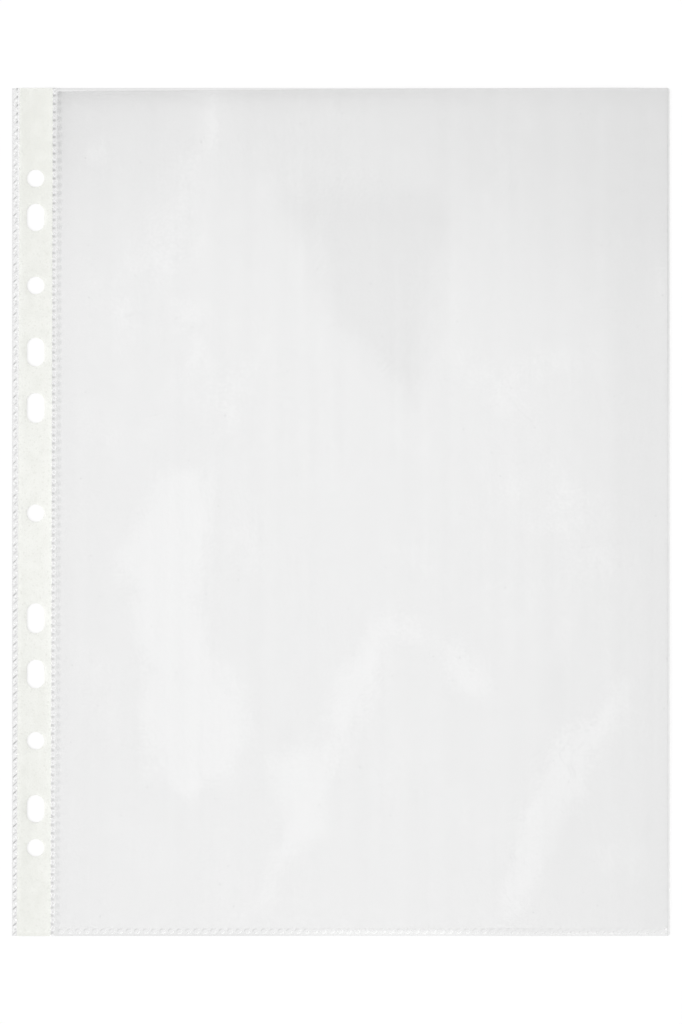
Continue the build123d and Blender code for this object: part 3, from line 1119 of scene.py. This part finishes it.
def painted_dot_shadows(tree):
    """Painted shadows of the inner weld's dots, in a row along the pocket's side of the weld."""
    place = add(tree, "ShaderNodeAttribute", attribute_name="page").outputs["Vector"]
    parts = add(tree, "ShaderNodeSeparateXYZ", {0: place}).outputs
    half = KNURL_PITCH / 2
    up = math_node(tree, "SUBTRACT", parts["Y"], DOT_SHADOW_PHASE)
    up = add(tree, "ShaderNodeMath", {0: up, 1: half, 2: -half}, operation="WRAP").outputs[0]
    lean = math_node(tree, "MULTIPLY", parts["Y"], STRIP_END_LEAN / MOUTH_Y)
    across = math_node(tree, "SUBTRACT", parts["X"], lean)
    across = math_node(tree, "SUBTRACT", across, STRIP_END_X + STRIP_END_SHIFT + DOT_SHADOW_ROW)
    up = math_node(tree, "MULTIPLY", up, DOT_SHADOW_STRETCH)
    off = add(tree, "ShaderNodeCombineXYZ", {"X": across, "Y": up}).outputs[0]
    off = add(tree, "ShaderNodeVectorMath", {0: off}, operation="LENGTH").outputs["Value"]
    blob = spread(tree, off, DOT_SHADOW_CORE * DOT_SHADOW_SIZE, DOT_SHADOW_SIZE, 1.0, 0.0, smooth=True)
    depth = spread(tree, parts["Y"], FOOT_Y, MOUTH_Y, DOT_SHADOW_FOOT, DOT_SHADOW_MOUTH)
    return math_node(tree, "MULTIPLY", blob, depth)


def front_film_material():
    """Clear film with patches that cling to the film behind it, patches that stand off with painted shade,
    dust, hair scratches and the painted shade marked on it.
    """
    material, tree = new_tree("front_film")
    cloud = page_noise(tree, *FILM_CLOUD)
    grain = page_noise(tree, *FRONT_GRAIN)
    ragged = total(tree, spread(tree, cloud, *CLOUD_RAGGED), spread(tree, grain, *GRAIN_RAGGED))
    cling = total(tree, mark(tree, "cling"), ragged)
    touching = spread(tree, cling, *TOUCHING_EDGE, 0.0, TOUCHING_GAIN, smooth=True)
    pressed = spread(tree, cling, *PRESSED_EDGE, 0.0, PRESSED_GAIN, smooth=True)
    apart = total(tree, mark(tree, "apart"), math_node(tree, "MULTIPLY", ragged, APART_RAGGED))
    apart = spread(tree, apart, *APART_EDGE, 0.0, APART_LOSS, smooth=True)
    # The shade mark and the loss where the films stand apart are painted shade; scratches and dust are the
    # film's own
    lost = total(tree, mark(tree, "shade"), apart, scratches(tree))
    lost = total(tree, lost, specks(tree, *SMALL_DUST), specks(tree, *LARGE_DUST))
    clear = math_node(tree, "SUBTRACT", total(tree, touching, pressed, FRONT_CLEAR), lost, clamp=True)
    clear_film(tree, grain, clear)
    return material


def back_film_material():
    """Clear film that takes the shade marked on it and the painted shadows of the inner weld's dots.

    Elsewhere it has only its drawn streaks and grain.
    """
    material, tree = new_tree("back_film")
    grain = page_noise(tree, *BACK_GRAIN)
    # The painted shadows of the inner weld's dots darken the film
    clear = math_node(tree, "SUBTRACT", 1.0, total(tree, mark(tree, "shade"), painted_dot_shadows(tree)))
    clear_film(tree, grain, clear)
    return material


def margin_film_material():
    """Film pressed onto the strip."""
    material, tree = new_tree("margin_film")
    grain = page_noise(tree, *MARGIN_GRAIN)
    haze = noise_spread(tree, page_noise(tree, *MARGIN_CLOUD), *MARGIN_HAZE)
    body = hazy_body(tree, haze, MARGIN_CLEAR, MARGIN_MILK, MARGIN_MILK_ROUGHNESS)
    normal = bump(tree, grain, PRESSED_BUMP)
    film_output(tree, body, noise_spread(tree, grain, *MARGIN_ROUGHNESS), normal)
    return material


def weld_material():
    """Film melted together: bright where the wheel clouded or cleared it and at painted glints, dull
    between its marks, and darker with their painted shade and the painted shadows of the inner weld's dots.
    """
    material, tree = new_tree("weld")
    cloud = page_noise(tree, *WELD_CLOUD)
    press = mark(tree, "press")
    haze = spread(tree, press, *PRESS_HAZE)
    haze = math_node(tree, "ADD", haze, noise_spread(tree, cloud, *WELD_HAZE), clamp=True)
    clear = total(tree, WELD_CLEAR, spread(tree, press, *PRESS_CLEARING, 0.0, PRESSED_CLEAR))
    # Painted shade of the marks and the painted shadows of the inner weld's dots darken the weld
    lost = total(tree, mark(tree, "shade"), painted_dot_shadows(tree))
    clear = math_node(tree, "SUBTRACT", clear, lost, clamp=True)
    body = hazy_body(tree, haze, clear, WELD_MILK, WELD_MILK_ROUGHNESS)
    normal = bump(tree, cloud, PRESSED_BUMP, WELD_BUMP_HEIGHT)
    film_output(tree, body, noise_spread(tree, cloud, *WELD_ROUGHNESS), normal)
    return material


def strip_material():
    """Cream strip, mottled and finely speckled like pressed plastic film."""
    material, tree = new_tree("white_strip")
    mottle = page_noise(tree, *STRIP_MOTTLE)
    grain = page_noise(tree, *STRIP_GRAIN)
    pale = total(tree, noise_spread(tree, mottle, *MOTTLE_GLOW), noise_spread(tree, grain, *GRAIN_GLOW))
    # The glow mark pales the strip, with painted highlights along its long edges
    pale = total(tree, pale, math_node(tree, "MULTIPLY", mark(tree, "glow"), GLOW_STRENGTH))
    pale = math_node(tree, "SUBTRACT", pale, specks(tree, *STRIP_SPECKS), clamp=True)
    colour = add(tree, "ShaderNodeMix", {"Factor": pale}, data_type="RGBA")
    colour.inputs["A"].default_value = STRIP_DULL
    colour.inputs["B"].default_value = STRIP_PALE
    height = total(tree, math_node(tree, "MULTIPLY", mottle, MOTTLE_HEIGHT), grain)
    surface = add(tree, "ShaderNodeBsdfPrincipled", {
        "Base Color": colour.outputs["Result"],
        "Roughness": noise_spread(tree, grain, *STRIP_ROUGHNESS),
        "Specular IOR Level": STRIP_GLOSS,
        "Normal": bump(tree, height, PRESSED_BUMP),
    })
    add(tree, "ShaderNodeOutputMaterial", {"Surface": surface.outputs[0]})
    return material


# Pieces, the bodies they ride on and the CAD nodes they stand for

def dress(piece, material, slot, *nodes):
    """Gives a piece its material and hides the CAD nodes that it stands for. The slot is not used."""
    piece.data.materials.append(material)
    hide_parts(*nodes)
    return piece


front_film, back_film = front_film_material(), back_film_material()
margin_film, weld = margin_film_material(), weld_material()

strip_sheet, margin_under, margin_over = build_margin()
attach(dress(strip_sheet, strip_material(), "white_strip", "reinforcing_strip"), "binding_margin")
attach(dress(margin_under, margin_film, "clear_film", "margin_film_back"), "binding_margin")
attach(dress(margin_over, margin_film, "clear_film", "margin_film_front"), "binding_margin")
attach(dress(build_spine_seam(), weld, "weld", "spine_weld"), "binding_margin")

inner_seam = dress(build_inner_seam(), weld, "weld", "inner_weld")
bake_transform(inner_seam)

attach(dress(build_foot_seam(), weld, "weld", "foot_weld"), "pocket")
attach(dress(build_back_sheet(), back_film, "clear_film", "back_film"), "pocket")
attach(dress(build_fold_loop(), back_film, "clear_film", "side_fold"), "pocket")

weld_half = build_front_half("front_sheet_weld_half", POCKET_X, MIDDLE_X)
dress(weld_half, front_film, "clear_film", "front_film_weld_side", "front_film_panel")
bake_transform(weld_half)
fold_half = build_front_half("front_sheet_fold_half", MIDDLE_X, LOOP_X)
dress(fold_half, front_film, "clear_film", "front_film_fold_side", "front_film_panel")
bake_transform(fold_half)


# Surface, light and camera

FLOOR_SIZE = 40.0
FLOOR_COLOUR = 0.262
FLOOR_TOP_UP = 0.725
HORIZON = 1.0
HORIZON_END = 0.25
ZENITH = 0.5
ZENITH_START = 0.95
KEY_STRENGTH = 3.44
KEY_HEIGHT = 22.0
KEY_AZIMUTH = 200.0
KEY_SPREAD = 28.0
LENS = 85.0
SENSOR = 36.0
VIEW_HEIGHT = 367.0
FILM_FACES_PASSED = 32


def build_floor():
    """A matt surface that also glows for the camera, so that it shows white."""
    half = FLOOR_SIZE / 2
    mesh = bpy.data.meshes.new("floor")
    height = SURFACE_Z * MM
    corners = [(-half, -half, height), (half, -half, height), (half, half, height), (-half, half, height)]
    mesh.from_pydata(corners, [], [(0, 1, 2, 3)])
    floor = bpy.data.objects.new("floor", mesh)
    bpy.context.scene.collection.objects.link(floor)
    material, tree = new_tree("pale_surface")
    rays = add(tree, "ShaderNodeLightPath").outputs
    seen = math_node(tree, "MAXIMUM", rays["Is Camera Ray"], rays["Is Glossy Ray"])
    seen = math_node(tree, "MAXIMUM", seen, rays["Is Transmission Ray"])
    strength = math_node(tree, "MULTIPLY", seen, FLOOR_TOP_UP)
    top_up = add(tree, "ShaderNodeEmission", {"Strength": strength}).outputs[0]
    matt = add(tree, "ShaderNodeBsdfDiffuse", {"Color": (*[FLOOR_COLOUR] * 3, 1.0)}).outputs[0]
    both = add(tree, "ShaderNodeAddShader", {0: matt, 1: top_up}).outputs[0]
    add(tree, "ShaderNodeOutputMaterial", {"Surface": both})
    mesh.materials.append(material)


def build_world():
    """A studio that is white round the horizon and darker overhead."""
    world = bpy.data.worlds.new("studio")
    world.use_nodes = True
    tree = world.node_tree
    tree.nodes.clear()
    direction = add(tree, "ShaderNodeTexCoord").outputs["Generated"]
    height = add(tree, "ShaderNodeSeparateXYZ", {0: direction}).outputs["Z"]
    level = spread(tree, height, HORIZON_END, ZENITH_START, HORIZON, ZENITH, smooth=True)
    light = add(tree, "ShaderNodeBackground", {"Color": level, "Strength": 1.0}).outputs[0]
    add(tree, "ShaderNodeOutputWorld", {"Surface": light})
    bpy.context.scene.world = world


def build_key():
    """Soft raking light from the left."""
    lamp = bpy.data.lights.new("key", "SUN")
    lamp.energy = KEY_STRENGTH
    lamp.angle = math.radians(KEY_SPREAD)
    key = bpy.data.objects.new("key", lamp)
    bpy.context.scene.collection.objects.link(key)
    turn, rise = math.radians(KEY_AZIMUTH), math.radians(KEY_HEIGHT)
    towards = Vector((math.cos(rise) * math.cos(turn), math.cos(rise) * math.sin(turn), math.sin(rise)))
    key.rotation_euler = towards.to_track_quat("Z", "Y").to_euler()


def build_camera():
    """Straight above the page, as far off as makes the photograph's height fit."""
    data = bpy.data.cameras.new("camera")
    data.lens = LENS
    data.sensor_width = SENSOR
    camera = bpy.data.objects.new("camera", data)
    bpy.context.scene.collection.objects.link(camera)
    camera.location = (0.0, 0.0, VIEW_HEIGHT * MM * LENS / SENSOR)
    bpy.context.scene.camera = camera


build_floor()
build_world()
build_key()
build_camera()
bpy.context.scene.view_settings.view_transform = "Standard"
# Light passes through all the film that a turned page lays over the strip
bpy.context.scene.cycles.transparent_max_bounces = FILM_FACES_PASSED
